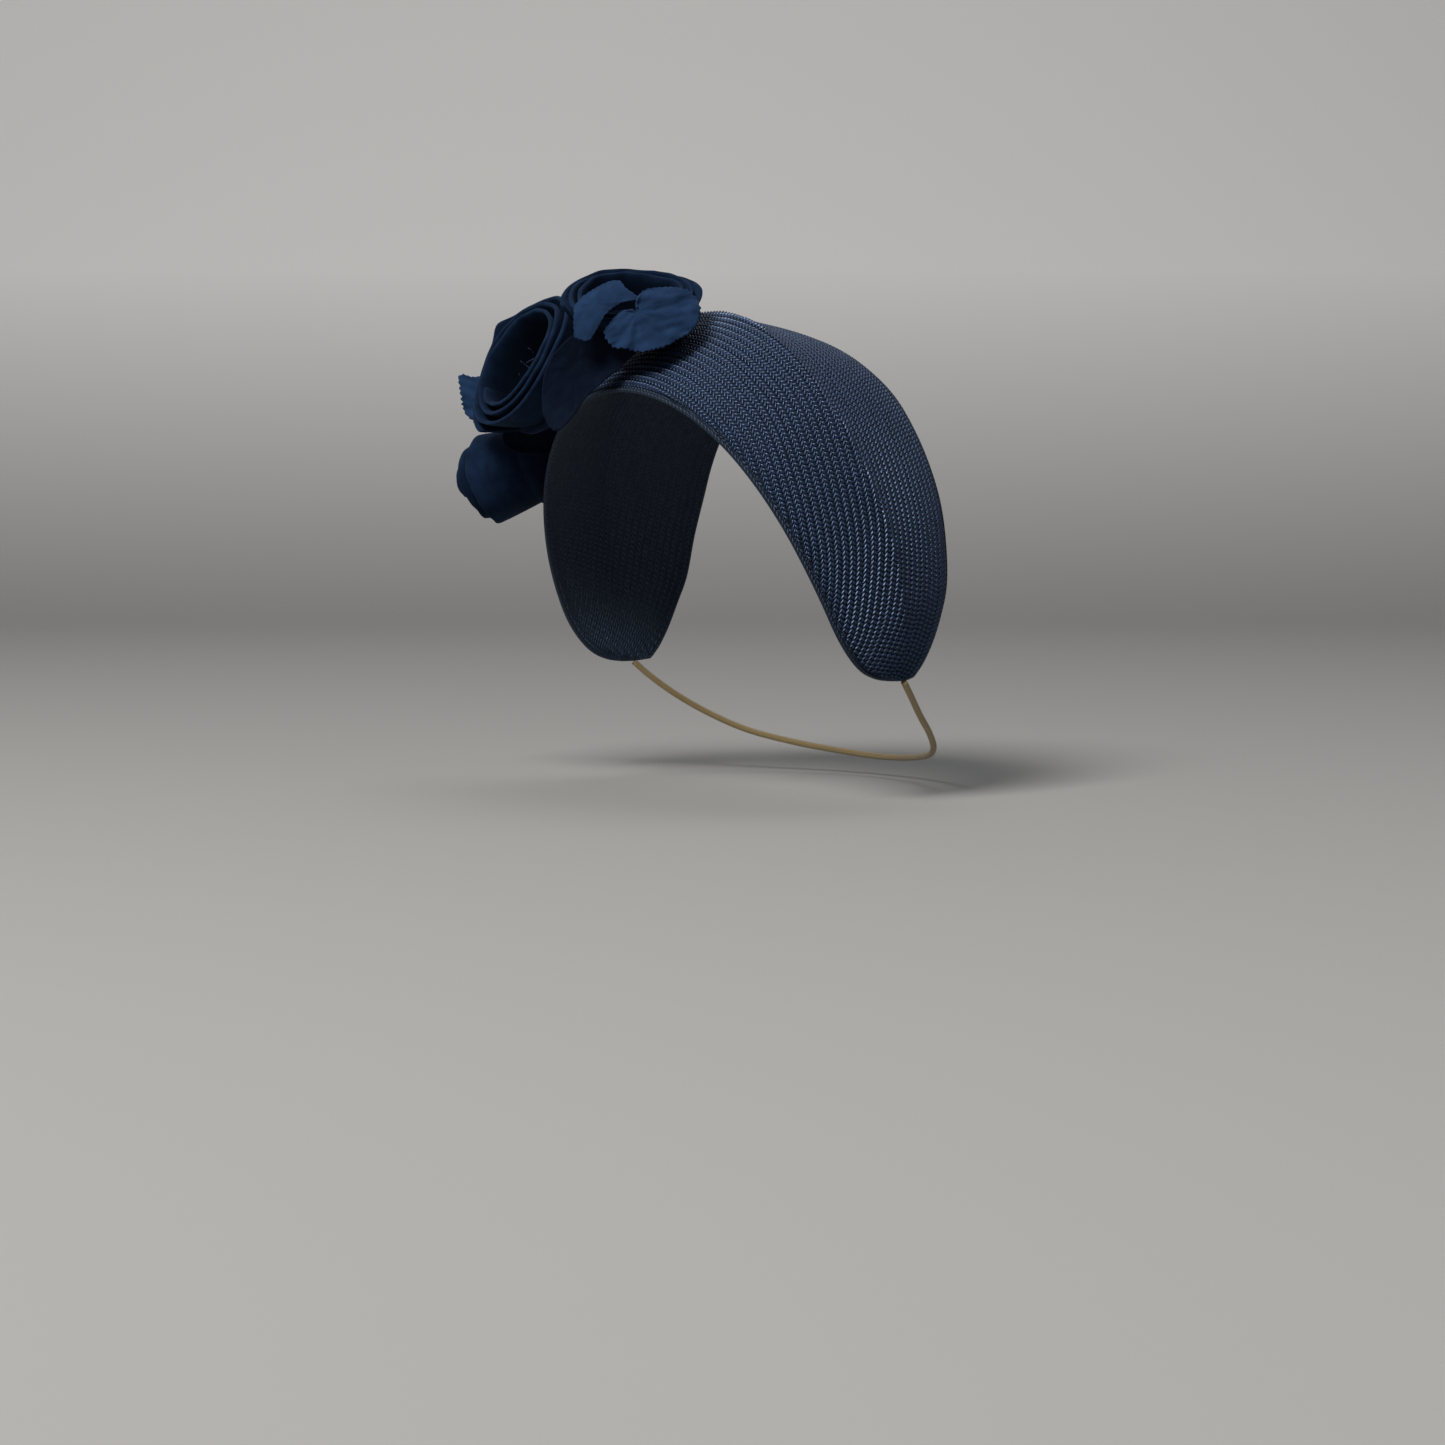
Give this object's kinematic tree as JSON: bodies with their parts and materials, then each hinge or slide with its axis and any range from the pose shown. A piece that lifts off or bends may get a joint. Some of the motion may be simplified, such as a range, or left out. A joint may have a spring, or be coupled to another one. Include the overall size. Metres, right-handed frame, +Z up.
{
  "type": "floral headband",
  "caption": "Straw headband with a soft ridge, worn over the crown, with wound cloth roses and leaves on one side and an elastic round the nape.",
  "frame": {"origin": "the top of the head under the band, on the middle plane, where the headband sits as worn", "axes": "+Z up, +Y toward the back of the head, +X toward the wearer's left; the roses are on the wearer's right, at -X"},
  "size_m": [0.1931, 0.1544, 0.1851],
  "materials": {
    "straw": "herringbone straw, satin",
    "elastic": "round covered elastic",
    "rose_cloth": "matte cotton",
    "leaf_cloth": "matte cotton"
  },
  "bodies": {
    "root": {"straw_band": "straw", "elastic_cord": "elastic", "rose_top": "rose_cloth", "rose_middle": "rose_cloth", "rose_lower": "rose_cloth", "petal_top": "leaf_cloth", "leaf_top": "leaf_cloth", "leaf_left": "leaf_cloth", "leaf_dark": "rose_cloth", "leaf_lower": "rose_cloth"}
  },
  "joints": []
}
